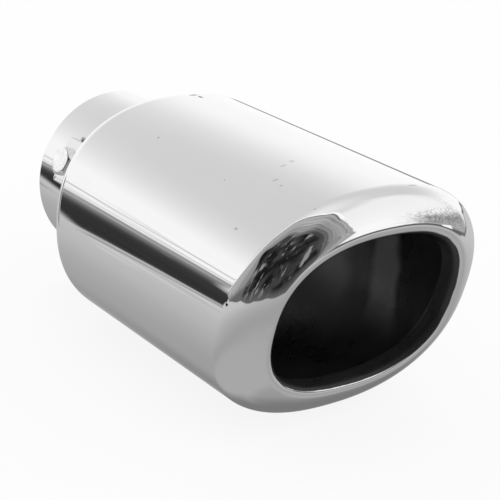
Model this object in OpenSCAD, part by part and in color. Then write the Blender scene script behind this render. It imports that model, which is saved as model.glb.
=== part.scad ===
// Slant-cut exhaust tip: an oval body with a rolled lip, a closed rear plate
// and a round inlet neck that three clamp bolts hold on a tailpipe.
// The pipe axis is Y: the inlet opens towards +Y, the mouth faces -Y, and +Z is up.
// The origin is the centre of the inlet's rear edge.

/* [Body] */
// Width of the oval body where the lip starts
body_w = 101.6; // [90:0.1:125]
// How much narrower the body is at its rear plate
rear_narrowing = 1.6; // [0:0.1:8]
// Height of the oval body where the lip starts
body_h = 84.8; // [76:0.1:110]
// How much taller the body is at its rear plate
rear_rise = 1.4; // [0:0.1:5]
// Power of the oval: 2 is an ellipse, more is squarer
oval_power = 2.3; // [2:0.05:3]
// Length on the axis from the rear plate's face to the start of the lip
body_len = 106.4; // [60:0.1:200]
// Lean of the cut mouth from square, with the top forward
slant_deg = 14; // [0:1:28]
// Thickness of the body's sheet
body_wall = 1.2; // [0.8:0.1:1.8]

/* [Rolled lip] */
// Forward half-axis of the lip's wide curve
lip_forward = 13.9; // [8:0.1:20]
// Inward half-axis of the lip's wide curve
lip_inward = 20.5; // [14:0.1:26]
// Part of a quarter turn that the wide curve takes
lip_turn = 62; // [45:1:72]
// Outer radius of the tight bend at the mouth
bend_r = 3; // [2:0.1:4]
// Straight flange that runs back from the tight bend
flange_len = 4.6; // [1:0.1:10]

/* [Rear plate] */
// Thickness of the plate's sheet
plate_wall = 1.5; // [1:0.1:1.9]
// Outer radius of the plate's rounded edge
plate_edge_r = 3; // [2:0.1:4]
// Depth of the plate from its face to the seam with the body
plate_depth = 5; // [4.5:0.1:10]

/* [Inlet neck] */
// Bore of the neck, which slides over the tailpipe
neck_bore = 64; // [50:0.1:66]
// Thickness of the neck's sheet
neck_wall = 1.2; // [0.8:0.1:2]
// Length of the neck behind the rear plate
neck_len = 43.5; // [36:0.1:80]
// Length of the neck inside the body
neck_inside = 6; // [3:0.1:12]
// Leg of the weld bead between neck and plate
weld_leg = 2.5; // [1.5:0.1:3]
// Gap between the neck and the hole that it passes through in the plate
neck_gap = 0.1; // [0.05:0.01:0.3]

/* [Clamp bolts] */
// Angle of the first bolt round the neck, up from +X
bolt_angle = 156; // [140:1:165]
// Distance of the bolts from the rear plate's face
bolt_front = 17.5; // [16:0.1:20]
// Thread diameter of the bolts
bolt_d = 6; // [5:0.5:8]
// Width of the hexagon head across its flats
head_flats = 10; // [8:0.5:13]
// Height of the hexagon head
head_h = 4; // [3:0.1:6]
// Corner cut round the top of the head
head_cut = 0.55; // [0.3:0.05:0.7]
// Turn of the head's corners about the bolt
head_turn = 20; // [0:1:59]
// Open thread between the head and the weld plate
bolt_open = 1.9; // [0.5:0.1:3]
// Clearance between the bolt and the thread that it turns in
thread_gap = 0.05; // [0.02:0.01:0.1]
// Clearance between the bolt and its hole in the neck
hole_gap = 0.3; // [0.1:0.05:0.6]
// Distance that the bolt's tip stays back from the bore
tip_back = 0.15; // [0.1:0.05:0.5]

/* [Weld plates] */
// Side of the square plates that carry the threads
pad_side = 18; // [14:0.5:20]
// Thickness of the plates over the neck at their middle
pad_t = 3; // [2:0.1:4]
// Radius of the square plates' corners
pad_corner_r = 1.5; // [0.5:0.1:3]
// Radius of the tack welds
tack_r = 1.7; // [1:0.1:2.2]
// Distance of the tack welds from the middle of the plate along the neck
tack_off = 5.6; // [3:0.1:6]

/* [Hidden] */

// Points round each oval ring, a multiple of 4 so that the ring has its full width and height
ring_points = 96;
// Steps on the wide curve and on the tight bend of the lip, outside and inside the sheet
wide_steps = 8;
bend_steps = 6;
inner_wide_steps = 6;
inner_bend_steps = 4;
// Steps on the rounded edge of the rear plate
edge_steps = 5;
// Smoothness of the round parts, which stay true circles
$fn = 180;

neck_r = neck_bore / 2 + neck_wall;
lip_start = neck_len + body_len;
seam_at = neck_len + plate_depth;
bolt_back = neck_len - bolt_front;
front_size = [body_w, body_h];
rear_size = [body_w - rear_narrowing, body_h + rear_rise];
slant = tan(slant_deg);
pad_face = neck_r + pad_t;
bolt_step = 120;
polished = "gainsboro";
plated = "silver";

// The oval section, by direction t from its middle
function oval_radius(a, b, t) =
    pow(pow(abs(cos(t)) / a, oval_power) + pow(abs(sin(t)) / b, oval_power), -1 / oval_power);
function oval_point(a, b, t) = oval_radius(a, b, t) * [cos(t), sin(t)];
// Outward normal of the oval at a point p on it
function oval_slope(v, half) = sign(v) * pow(abs(v) / half, oval_power - 1) / half;
function oval_normal(a, b, p) =
    let (g = [oval_slope(p[0], a), oval_slope(p[1], b)]) g / norm(g);

// One ring of the body: an oval of a width and height moved inwards by inset, at a distance
// from the inlet's rear edge, leaning with the cut mouth where lean is 1
function ring(size, inset, distance, lean = 0) = [
    for (i = [0 : ring_points - 1])
        let (a = size[0] / 2, b = size[1] / 2,
             p = oval_point(a, b, 360 * i / ring_points),
             q = p - inset * oval_normal(a, b, p))
        [q[0], -(distance + lean * slant * q[1]), q[1]]
];

// The lip's profile as [inset, forward] pairs, for a skin at a depth under the outside
function wide_tangent(turn) =
    let (d = [lip_inward * sin(turn), lip_forward * cos(turn)]) d / norm(d);
function wide_point(turn, depth) =
    let (t = wide_tangent(turn))
    [lip_inward * (1 - cos(turn)) + depth * t[1], lip_forward * sin(turn) - depth * t[0]];
bend_from = let (t = wide_tangent(lip_turn)) atan2(t[0], -t[1]);
bend_middle = wide_point(lip_turn, bend_r);
function bend_point(angle, depth) = bend_middle + (bend_r - depth) * [cos(angle), sin(angle)];
flange_end = bend_middle[1] - flange_len;

function wide_profile(depth, steps) = [for (i = [0 : steps]) wide_point(lip_turn * i / steps, depth)];
function bend_profile(depth, steps) =
    [for (i = [1 : steps]) bend_point(bend_from * (1 - i / steps), depth)];
function skin(depth, steps_wide, steps_bend) = concat(
    wide_profile(depth, steps_wide),
    bend_profile(depth, steps_bend),
    [[bend_middle[0] + bend_r - depth, flange_end]]
);
function reversed(list) = [for (i = [len(list) - 1 : -1 : 0]) list[i]];
function lip_rings(profile) =
    [for (p = profile) ring(front_size, p[0], lip_start + p[1], 1)];

// The ring at the seam, on the straight lines of the wall from the rear plate's rounded edge
// to the start of the lip
function seam_ring(inset) =
    let (rear = ring(rear_size, inset, neck_len + plate_edge_r),
         front = ring(front_size, inset, lip_start, 1))
    [for (i = [0 : ring_points - 1])
        let (share = (plate_depth - plate_edge_r) / (rear[i][1] - front[i][1]))
        rear[i] + share * (front[i] - rear[i])
    ];

// A skin of triangles through rings with the same number of points
function band_faces(from, to, n) = [
    for (i = [0 : n - 1], k = [0, 1])
        let (j = (i + 1) % n)
        k == 0 ? [from * n + i, from * n + j, to * n + j]
               : [from * n + i, to * n + j, to * n + i]
];
function flat(lists) = [for (l = lists, v = l) v];

// Rings joined in a loop: the sheet's outside, its free edge and its inside
module ring_tube(rings) {
    n = len(rings[0]);
    m = len(rings);
    polyhedron(
        points = flat(rings),
        faces = flat([for (r = [0 : m - 1]) band_faces(r, (r + 1) % m, n)])
    );
}

// Rings joined in a row and closed by a flat face at each end
module ring_cup(rings) {
    n = len(rings[0]);
    m = len(rings);
    polyhedron(
        points = flat(rings),
        faces = concat(
            flat([for (r = [0 : m - 2]) band_faces(r, r + 1, n)]),
            [[for (i = [n - 1 : -1 : 0]) i]],
            [[for (i = [0 : n - 1]) (m - 1) * n + i]]
        )
    );
}

// A cylinder along the pipe, from one distance behind the inlet's rear edge to another
module along_pipe(r, from, to) {
    translate([0, -from, 0]) rotate([90, 0, 0]) cylinder(r = r, h = to - from);
}

// Places its children at bolt number i, with +Z out of the neck and +X along the pipe
module at_bolt(i) {
    rotate([0, -(bolt_angle - i * bolt_step), 0])
        translate([0, -bolt_back, 0])
            rotate([0, 90, 0]) rotate([0, 0, 90]) children();
}

// Oval tube, cut at a slant, with its edge rolled inwards and turned back as a flange
module body_shell() {
    color(polished) ring_tube(concat(
        [seam_ring(0)],
        lip_rings(skin(0, wide_steps, bend_steps)),
        lip_rings(reversed(skin(body_wall, inner_wide_steps, inner_bend_steps))),
        [seam_ring(body_wall)]
    ));
}

// A ring on the rear plate's rounded edge, for a skin at a depth under the outside
function edge_ring(turn, depth) =
    let (r = plate_edge_r - depth)
    ring(rear_size, plate_edge_r - r * sin(turn), neck_len + plate_edge_r - r * cos(turn));

// Pressed plate that closes the body's rear, with a hole for the neck
module rear_plate() {
    color(polished) difference() {
        ring_cup(concat(
            [for (i = [0 : edge_steps]) edge_ring(90 * i / edge_steps, 0)],
            [seam_ring(0), seam_ring(plate_wall)],
            [for (i = [edge_steps : -1 : 0]) edge_ring(90 * i / edge_steps, plate_wall)]
        ));
        along_pipe(neck_r + neck_gap, neck_len - plate_depth, seam_at + plate_depth);
    }
}

// Round tube that takes the tailpipe, with a clearance hole for each bolt
module inlet_neck() {
    color(polished) difference() {
        along_pipe(neck_r, 0, neck_len + neck_inside);
        along_pipe(neck_bore / 2, -neck_wall, neck_len + neck_inside + neck_wall);
        for (i = [0 : 2]) at_bolt(i) cylinder(d = bolt_d + 2 * hole_gap, h = neck_bore);
    }
}

// Rounded bead in the corner between the neck and the plate's rear face
module neck_weld() {
    color(plated) translate([0, -neck_len, 0]) rotate([-90, 0, 0]) rotate_extrude()
        translate([neck_r, 0]) intersection() {
            circle(weld_leg);
            square(weld_leg);
        }
}

// Square block with rounded corners, from the neck's axis up to the plate's outer face
module pad_block() {
    inner = pad_side - 2 * pad_corner_r;
    linear_extrude(pad_face) union() {
        square([pad_side, inner], center = true);
        square([inner, pad_side], center = true);
        for (u = [-1, 1], v = [-1, 1]) translate([u, v] * inner / 2) circle(pad_corner_r);
    }
}

// Square plate that seats on the neck and carries the bolt's thread
module weld_plate(i) {
    color(plated) difference() {
        at_bolt(i) pad_block();
        along_pipe(neck_r, 0, lip_start);
        at_bolt(i) cylinder(d = bolt_d + 2 * thread_gap, h = pad_face + pad_t);
    }
}

// Four tack welds along the two edges of a plate that run along the neck
module plate_tacks(i) {
    side = pad_side / 2;
    color(plated) difference() {
        at_bolt(i) for (u = [-1, 1], v = [-1, 1])
            translate([u * tack_off, v * side, sqrt(pow(neck_r, 2) - pow(side, 2))]) sphere(tack_r);
        at_bolt(i) translate([-side, -side, 0]) cube([pad_side, pad_side, pad_face]);
        along_pipe(neck_r, 0, lip_start);
    }
}

// Hexagon head, its corners cut by a cone that runs on past them
module hex_head() {
    corner_r = head_flats / sqrt(3);
    top_r = (head_flats - head_cut) / 2;
    fall = head_cut / (corner_r - top_r);
    reach = 2 * corner_r;
    intersection() {
        rotate([0, 0, head_turn]) cylinder(r = corner_r, h = head_h, $fn = 6);
        rotate_extrude() polygon([
            [0, -head_h], [reach, -head_h], [reach, head_h - fall * (reach - top_r)],
            [top_r, head_h], [0, head_h]
        ]);
    }
}

// Clamp bolt: its head stands off the weld plate and its tip ends short of the bore
module clamp_bolt(i) {
    seat = pad_face + bolt_open;
    tip = neck_bore / 2 + tip_back;
    color(plated) at_bolt(i) union() {
        translate([0, 0, seat]) hex_head();
        translate([0, 0, tip]) cylinder(d = bolt_d, h = seat - tip + head_h / 2);
    }
}

body_shell();
rear_plate();
inlet_neck();
neck_weld();
weld_plate(0);  // weld_plate_left
weld_plate(1);  // weld_plate_right
weld_plate(2);  // weld_plate_bottom
plate_tacks(0);  // plate_tacks_left
plate_tacks(1);  // plate_tacks_right
plate_tacks(2);  // plate_tacks_bottom
clamp_bolt(0);  // clamp_bolt_left
clamp_bolt(1);  // clamp_bolt_right
clamp_bolt(2);  // clamp_bolt_bottom
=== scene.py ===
"""Looks of the slant-cut exhaust tip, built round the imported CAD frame.

Sizes in the dataclass fields are millimetres, as in the part's source. Blender works in metres,
so every placing function ends with a multiplication by MM.
"""

import logging
import math
from dataclasses import dataclass
from enum import Enum
from typing import Callable, Iterable

import bmesh
import bpy
from mathutils import Matrix, Vector


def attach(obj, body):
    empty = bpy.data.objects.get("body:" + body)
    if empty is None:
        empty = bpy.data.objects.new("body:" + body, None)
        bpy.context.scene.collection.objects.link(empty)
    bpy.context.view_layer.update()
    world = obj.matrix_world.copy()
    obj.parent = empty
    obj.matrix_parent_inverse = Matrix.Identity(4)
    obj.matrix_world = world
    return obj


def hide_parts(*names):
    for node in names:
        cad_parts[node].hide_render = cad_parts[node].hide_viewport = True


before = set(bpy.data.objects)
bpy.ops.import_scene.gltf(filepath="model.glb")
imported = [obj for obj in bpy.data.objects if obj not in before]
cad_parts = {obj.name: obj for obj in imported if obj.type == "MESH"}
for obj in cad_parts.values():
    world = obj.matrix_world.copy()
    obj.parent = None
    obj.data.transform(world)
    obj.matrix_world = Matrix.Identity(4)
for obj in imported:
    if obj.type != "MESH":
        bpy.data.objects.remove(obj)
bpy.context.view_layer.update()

MM = 0.001
IMAGE_WIDTH = 500
CREASE_DEG = 32.0
MERGE_DIST = 2e-7

Place = Callable[[float], Vector]
Socket = bpy.types.NodeSocket
Value = Socket | float
Pair = tuple[float, float]
Triple = tuple[float, float, float]
Stops = tuple[Pair, ...]

# A span is a value's low and high, and what each becomes. A window is a rising step and a falling one.
Span = tuple[float, float, float, float]
Window = tuple[Pair, Pair]

log = logging.getLogger("exhaust_tip")


class Slot(Enum):
    """The record's material slots."""

    POLISHED_STEEL = "polished_steel"
    WELD_METAL = "weld_metal"
    BOLT_STEEL = "bolt_steel"


class Site(Enum):
    """The three clamp points round the neck, by their number and the end of their nodes' names."""

    LEFT = (0, "left")
    RIGHT = (1, "right")
    BOTTOM = (2, "bottom")


# Node trees


@dataclass(frozen=True)
class Grain:
    """A noise pattern, and how the place is stretched and turned before it is read."""

    scale: float = 1.0
    detail: float = 2.0
    rough: float = 0.5
    stretch: Triple | None = None
    turn: Triple = (0.0, 0.0, 0.0)


class NodeBench:
    """Adds nodes to one tree and hands back their sockets."""

    def __init__(self, tree: bpy.types.NodeTree) -> None:
        """Starts from an empty tree."""
        self.tree = tree
        tree.nodes.clear()

    def add(self, kind: str, **settings: object) -> bpy.types.Node:
        """Adds a node.

        Args:
            kind: The node's type name, without "ShaderNode".
            **settings: Properties to set on the node.

        Returns:
            The new node.
        """
        node = self.tree.nodes.new("ShaderNode" + kind)
        for name, value in settings.items():
            setattr(node, name, value)
        return node

    def join(self, source: Value | tuple, target: Socket) -> None:
        """Feeds a socket from another socket, or sets it to a constant.

        Args:
            source: The other socket, or the constant.
            target: The socket that is fed.
        """
        if isinstance(source, bpy.types.NodeSocket):
            self.tree.links.new(source, target)
        else:
            target.default_value = source

    def math(self, operation: str, *values: Value, clamp: bool = False) -> Socket:
        """A Math node on up to three values.

        Args:
            operation: The node's operation.
            *values: The values.
            clamp: Whether the result stays in 0 to 1.

        Returns:
            The result.
        """
        node = self.add("Math", operation=operation, use_clamp=clamp)
        for value, target in zip(values, node.inputs):
            self.join(value, target)
        return node.outputs[0]

    def times(self, first: Value, *others: Value) -> Socket:
        """The product of two or more values.

        Args:
            first: The first value.
            *others: The others.

        Returns:
            The product.
        """
        for other in others:
            first = self.math("MULTIPLY", first, other)
        return first

    def plus(self, a: Value, b: Value) -> Socket:
        """The sum of two values."""
        return self.math("ADD", a, b)

    def minus(self, a: Value, b: Value) -> Socket:
        """The first value less the second."""
        return self.math("SUBTRACT", a, b)

    def times_plus(self, a: Value, b: Value, c: Value) -> Socket:
        """The product of the first two values, and the third on top."""
        return self.math("MULTIPLY_ADD", a, b, c)

    def degrees(self, radians: Socket) -> Socket:
        """An angle in degrees."""
        return self.times(radians, 180 / math.pi)

    def vector(self, operation: str, *values: Socket | tuple) -> bpy.types.Node:
        """A Vector Math node on up to three vectors.

        Args:
            operation: The node's operation.
            *values: The vectors.

        Returns:
            The node, because its results differ.
        """
        node = self.add("VectorMath", operation=operation)
        for value, target in zip(values, node.inputs):
            self.join(value, target)
        return node

    def split(self, vector: Socket) -> bpy.types.NodeOutputs:
        """A vector's X, Y and Z.

        Args:
            vector: The vector.

        Returns:
            The three sockets, by their letters.
        """
        node = self.add("SeparateXYZ")
        self.join(vector, node.inputs[0])
        return node.outputs

    def remap(self, value: Socket, low: float, high: float, to_low: float = 0.0,
              to_high: float = 1.0, smooth: bool = False) -> Socket:
        """A clamped Map Range node.

        Args:
            value: The value to map.
            low: The value that becomes to_low.
            high: The value that becomes to_high.
            to_low: The result at low.
            to_high: The result at high.
            smooth: Whether the step is a smooth one.

        Returns:
            The mapped value.
        """
        node = self.add("MapRange", interpolation_type="SMOOTHSTEP" if smooth else "LINEAR")
        for value_in, target in zip((value, low, high, to_low, to_high), node.inputs):
            self.join(value_in, target)
        return node.outputs[0]

    def window(self, value: Socket, rise: Pair, fall: Pair) -> Socket:
        """1 between two smooth steps, and 0 outside them."""
        return self.times(self.remap(value, *rise, smooth=True),
                          self.remap(value, *fall, 1.0, 0.0, smooth=True))

    def blend(self, share: Value, a: Value, b: Value) -> Socket:
        """A Mix node on two values.

        Args:
            share: The share of the second value.
            a: The first value.
            b: The second value.

        Returns:
            The mixed value.
        """
        node = self.add("Mix", data_type="FLOAT")
        for value, number in ((share, 0), (a, 2), (b, 3)):
            self.join(value, node.inputs[number])
        return node.outputs[0]

    def tint(self, share: Value, a: Socket | tuple, b: Socket | tuple) -> Socket:
        """A Mix node on two colours.

        Args:
            share: The share of the second colour.
            a: The first colour.
            b: The second colour.

        Returns:
            The mixed colour.
        """
        node = self.add("Mix", data_type="RGBA")
        for value, number in ((share, 0), (a, 6), (b, 7)):
            self.join(value, node.inputs[number])
        return node.outputs[2]

    def noise(self, place: Socket, grain: Grain) -> Socket:
        """A Noise texture's value at a place.

        Args:
            place: The place, or any other vector.
            grain: The pattern.

        Returns:
            The pattern's value, about 0.5 on average.
        """
        if grain.stretch:
            spread = self.add("Mapping")
            self.join(place, spread.inputs["Vector"])
            spread.inputs["Rotation"].default_value = grain.turn
            spread.inputs["Scale"].default_value = grain.stretch
            place = spread.outputs[0]
        node = self.add("TexNoise")
        self.join(place, node.inputs["Vector"])
        for name, value in (("Scale", grain.scale), ("Detail", grain.detail), ("Roughness", grain.rough)):
            node.inputs[name].default_value = value
        return node.outputs[0]

    def bump(self, height: Socket, distance: float, strength: float = 1.0) -> Socket:
        """A Bump node on a height, with its distance in metres.

        Args:
            height: The height, from 0 to 1.
            distance: How far 1 stands out, in metres.
            strength: The node's strength.

        Returns:
            The bent normal.
        """
        node = self.add("Bump")
        node.inputs["Strength"].default_value = strength
        node.inputs["Distance"].default_value = distance
        self.join(height, node.inputs["Height"])
        return node.outputs[0]


def grey(value: float) -> tuple[float, float, float, float]:
    """A neutral colour."""
    return (value, value, value, 1.0)


def metres(window: Window) -> Window:
    """A window's steps, from millimetres to metres."""
    return tuple(tuple(MM * v for v in step) for step in window)


def new_material(name: str, surface: Callable[[NodeBench, Socket], Socket]) -> bpy.types.Material:
    """Makes a material.

    Args:
        name: The material's name.
        surface: Builds the shader from a bench and the place on the object.

    Returns:
        The new material.
    """
    made = bpy.data.materials.new(name)
    made.use_nodes = True
    bench = NodeBench(made.node_tree)
    place = bench.add("TexCoord").outputs["Object"]
    bench.join(surface(bench, place), bench.add("OutputMaterial").inputs["Surface"])
    return made


# Finishes


@dataclass(frozen=True)
class Mark:
    """A small worn or dark mark on the polished sheet."""

    place: Triple
    half_size: Triple
    depth: float


@dataclass(frozen=True, kw_only=True)
class Finish:
    """What every finish has: a colour and its roughness."""

    colour: float
    roughness: float
    metallic: float = 1.0

    def shader(self, bench: NodeBench, place: Socket) -> bpy.types.Node:
        """The finish's shader node, with its pattern read at a place."""
        raise NotImplementedError

    def surface(self, bench: NodeBench, place: Socket) -> Socket:
        """The shader's output."""
        return self.shader(bench, place).outputs[0]

    def material(self, name: str) -> bpy.types.Material:
        """A material with this finish alone."""
        return new_material(name, self.surface)

    def _principled(self, bench: NodeBench) -> bpy.types.Node:
        """A Principled shader with the finish's constants on its own sockets.

        Args:
            bench: The material's node bench.

        Returns:
            The shader node.
        """
        node = bench.add("BsdfPrincipled")
        node.inputs["Metallic"].default_value = self.metallic
        node.inputs["Roughness"].default_value = self.roughness
        node.inputs["Base Color"].default_value = grey(self.colour)
        return node


@dataclass(frozen=True, kw_only=True)
class PolishedSteel(Finish):
    """Mirror-polished stainless sheet with polishing haze, fine hairlines and a few scuffs."""

    colour: float = 0.92
    roughness: float = 0.03
    haze: float = 0.035
    haze_grain: Grain = Grain(38.0, 4.0, 0.6)
    haze_span: Pair = (0.42, 0.72)
    hairline: float = 0.10
    hairline_tone: float = -0.03
    hairlines: tuple[tuple[Grain, Pair], ...] = (
        (Grain(stretch=(900.0, 45.0, 900.0)), (0.70, 0.78)),
        (Grain(stretch=(70.0, 1500.0, 70.0), turn=(0.2, 0.1, 0.5)), (0.72, 0.80)))
    drift: float = 0.012
    drift_grain: Grain = Grain(22.0, 3.0)
    drift_span: Pair = (0.3, 0.7)
    ripple: float = 0.00006
    ripple_grain: Grain = Grain(stretch=(26.0, 9.0, 26.0))
    marks: tuple[Mark, ...] = ()
    mark_grain: Grain = Grain(1800.0)
    mark_wobble: float = 0.8
    mark_span: Span = (1.0, 1.45, 1.0, 0.0)
    mark_rough: float = 0.2

    def _inside(self, bench: NodeBench, place: Socket, mark: Mark) -> Socket:
        """1 inside a mark and 0 outside, with a ragged edge.

        Args:
            bench: The material's node bench.
            place: The place on the object.
            mark: The mark.

        Returns:
            The share.
        """
        offset = bench.vector("SUBTRACT", place, tuple(MM * v for v in mark.place)).outputs[0]
        scaled = bench.vector("DIVIDE", offset, tuple(MM * v for v in mark.half_size)).outputs[0]
        length = bench.vector("LENGTH", scaled).outputs["Value"]
        ragged = bench.times_plus(bench.noise(place, self.mark_grain), self.mark_wobble, length)
        return bench.remap(ragged, *self.mark_span)

    def shader(self, bench: NodeBench, place: Socket) -> bpy.types.Node:
        """Polished metal whose roughness and tone wander a little.

        Args:
            bench: The material's node bench.
            place: The place on the object.

        Returns:
            The shader node.
        """
        node = self._principled(bench)
        haze = bench.remap(bench.noise(place, self.haze_grain), *self.haze_span, 0.0, self.haze)
        scratches = (bench.remap(bench.noise(place, grain), *span) for grain, span in self.hairlines)
        lines = bench.math("MAXIMUM", *scratches)
        rough = bench.times_plus(lines, self.hairline, bench.plus(haze, self.roughness))
        tone = bench.remap(bench.noise(place, self.drift_grain), *self.drift_span,
                           self.colour - self.drift, self.colour + self.drift)
        tone = bench.times_plus(lines, self.hairline_tone, tone)
        for mark in self.marks:
            inside = self._inside(bench, place, mark)
            tone = bench.times_plus(inside, -mark.depth, tone)
            rough = bench.times_plus(inside, self.mark_rough, rough)
        shade = bench.add("CombineColor")
        for target in shade.inputs:
            bench.join(tone, target)
        bench.join(shade.outputs[0], node.inputs["Base Color"])
        bench.join(rough, node.inputs["Roughness"])
        bench.join(bench.bump(bench.noise(place, self.ripple_grain), self.ripple), node.inputs["Normal"])
        return node


@dataclass(frozen=True, kw_only=True)
class Mottled(Finish):
    """A finish whose tone and roughness follow one cloudy pattern, with a fine grain as bump."""

    cloud_grain: Grain
    cloud_span: Pair
    tones: Pair
    roughs: Pair
    fine_grain: Grain
    fine_depth: float
    fine_strength: float

    def _film(self, bench: NodeBench, place: Socket, cloud: Socket) -> Socket:
        """The colour, by the cloudy pattern."""
        return bench.tint(cloud, *(grey(self.colour * share) for share in self.tones))

    def shader(self, bench: NodeBench, place: Socket) -> bpy.types.Node:
        """The mottled surface.

        Args:
            bench: The material's node bench.
            place: The place on the object.

        Returns:
            The shader node.
        """
        node = self._principled(bench)
        cloud = bench.remap(bench.noise(place, self.cloud_grain), *self.cloud_span)
        bench.join(self._film(bench, place, cloud), node.inputs["Base Color"])
        bench.join(bench.remap(cloud, 0.0, 1.0, *(self.roughness + v for v in self.roughs)),
                   node.inputs["Roughness"])
        fine = bench.noise(place, self.fine_grain)
        bench.join(bench.bump(fine, self.fine_depth, self.fine_strength), node.inputs["Normal"])
        return node


@dataclass(frozen=True, kw_only=True)
class BlackPaint(Mottled):
    """Semi-gloss black paint with orange peel and light flecks, and lighter bands round the inside that
    are painted reflections.

    Each band of painted reflection is a window on the depth from the inlet.
    """

    colour: float = 0.022
    roughness: float = 0.30
    metallic: float = 0.0
    gloss: float = 0.28
    cloud_grain: Grain = Grain(60.0, 4.0, 0.6)
    cloud_span: Pair = (0.35, 0.75)
    tones: Pair = (0.8, 1.5)
    roughs: Pair = (-0.05, 0.10)
    fine_grain: Grain = Grain(1400.0, 3.0)
    fine_depth: float = 0.00001
    fine_strength: float = 0.4
    fleck: float = 0.07
    fleck_grain: Grain = Grain(900.0, 3.0, 0.7)
    fleck_span: Pair = (0.72, 0.80)
    # Tone, places and wander of the lighter bands, which are painted reflections of light inside the
    # body.
    painted_reflection_tone: float = 0.20
    painted_reflection_bands: tuple[Window, ...] = (((62.0, 84.0), (88.0, 98.0)), ((104.0, 109.0), (119.0, 124.0)))
    painted_reflection_height: Window = ((-31.0, -17.0), (12.0, 34.0))
    painted_reflection_lean: Span = (-32.0, -10.0, -12.0, 0.0)
    painted_reflection_wander: float = 6.0
    painted_reflection_grain: Grain = Grain(45.0)

    def _painted_reflection(self, bench: NodeBench, place: Socket) -> Socket:
        """Where reflections of light are painted onto the paint.

        Args:
            bench: The material's node bench.
            place: The place on the object.

        Returns:
            The share of the thin coat.
        """
        axes, swing = bench.split(place), self.painted_reflection_wander * MM
        wander = bench.times_plus(bench.noise(place, self.painted_reflection_grain), 2 * swing, -swing)
        lean = bench.remap(axes["Z"], *(MM * v for v in self.painted_reflection_lean))
        depth = bench.minus(bench.plus(wander, lean), axes["Y"])
        bands = (bench.window(depth, *metres(band)) for band in self.painted_reflection_bands)
        return bench.times(bench.math("MAXIMUM", *bands),
                           bench.window(axes["Z"], *metres(self.painted_reflection_height)))

    def _film(self, bench: NodeBench, place: Socket, cloud: Socket) -> Socket:
        """Dark paint, lighter where reflections are painted in, with its flecks on top.

        Args:
            bench: The material's node bench.
            place: The place on the object.
            cloud: The cloudy pattern.

        Returns:
            The colour.
        """
        # The lighter bands are painted reflections of the light that comes in at the mouth.
        film = bench.tint(self._painted_reflection(bench, place), super()._film(bench, place, cloud),
                          grey(self.painted_reflection_tone))
        flecks = bench.remap(bench.noise(place, self.fleck_grain), *self.fleck_span)
        return bench.tint(flecks, film, grey(self.fleck))

    def shader(self, bench: NodeBench, place: Socket) -> bpy.types.Node:
        """The painted surface, with its own gloss.

        Args:
            bench: The material's node bench.
            place: The place on the object.

        Returns:
            The shader node.
        """
        node = super().shader(bench, place)
        node.inputs["Specular IOR Level"].default_value = self.gloss
        return node


@dataclass(frozen=True, kw_only=True)
class WeldMetal(Mottled):
    """Brushed weld metal, duller and slightly stained in patches."""

    colour: float = 0.80
    roughness: float = 0.24
    cloud_grain: Grain = Grain(420.0, 4.0, 0.65)
    cloud_span: Pair = (0.38, 0.68)
    tones: Pair = (0.76, 1.12)
    roughs: Pair = (0.12, -0.06)
    fine_grain: Grain = Grain(2600.0, 3.0, 0.6)
    fine_depth: float = 0.00005
    fine_strength: float = 0.7


@dataclass(frozen=True, kw_only=True)
class BoltSteel(Mottled):
    """Bright plated steel, dulled in patches, with a satin grain from its making."""

    colour: float = 0.95
    roughness: float = 0.12
    cloud_grain: Grain = Grain(500.0, 4.0, 0.6)
    cloud_span: Pair = (0.35, 0.70)
    tones: Pair = (0.90, 1.04)
    roughs: Pair = (0.08, -0.03)
    fine_grain: Grain = Grain(3000.0)
    fine_depth: float = 0.00001
    fine_strength: float = 0.5


@dataclass(frozen=True)
class PartPainted:
    """Polished sheet that turns into black paint past a line.

    The line is where the mesh's "paint_line" attribute, in millimetres, passes zero.
    """

    sheet: PolishedSteel
    paint: BlackPaint
    wander: float = 0.35
    wander_grain: Grain = Grain(160.0, 3.0)
    soft: float = 0.12

    def surface(self, bench: NodeBench, place: Socket) -> Socket:
        """The two finishes, mixed by the distance past the line.

        Args:
            bench: The material's node bench.
            place: The place on the object.

        Returns:
            The mixed shader's output.
        """
        line = bench.add("Attribute", attribute_name="paint_line").outputs["Fac"]
        drift = bench.times_plus(bench.noise(place, self.wander_grain), self.wander * 2, -self.wander)
        both = bench.add("MixShader")
        bench.join(bench.remap(bench.plus(line, drift), -self.soft, self.soft), both.inputs[0])
        bench.join(self.sheet.surface(bench, place), both.inputs[1])
        bench.join(self.paint.surface(bench, place), both.inputs[2])
        return both.outputs[0]

    def material(self, name: str) -> bpy.types.Material:
        """The mixed material."""
        return new_material(name, self.surface)


WEAR: tuple[Mark, ...] = (
    Mark((-50.0, -153.5, 9.3), (0.8, 0.6, 0.6), 0.95),
    Mark((5.3, -48.2, 43.0), (2.2, 0.8, 1.0), 0.70),
    Mark((6.4, -51.2, 42.9), (0.9, 1.6, 1.0), 0.85),
    Mark((-30.0, -120.7, 36.4), (0.4, 0.4, 0.5), 0.30),
    Mark((-27.1, -75.8, 38.0), (0.5, 0.5, 0.5), 0.45),
    Mark((-40.4, -142.7, 28.8), (0.5, 0.8, 0.8), 0.30),
    Mark((13.2, -162.4, 41.3), (3.0, 0.45, 0.6), 0.30),
    Mark((-21.2, -136.0, 39.9), (1.2, 0.8, 0.8), 0.22),
    Mark((-13.5, -129.5, 41.7), (1.4, 0.7, 0.8), 0.22),
    Mark((-9.0, -128.2, 42.2), (1.0, 1.2, 0.8), 0.20),
    Mark((-22.4, -140.5, 39.6), (0.6, 0.7, 0.8), 0.25),
    Mark((-24.6, -160.9, 38.6), (0.5, 0.5, 0.6), 0.25),
)


# Mesh making


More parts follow.
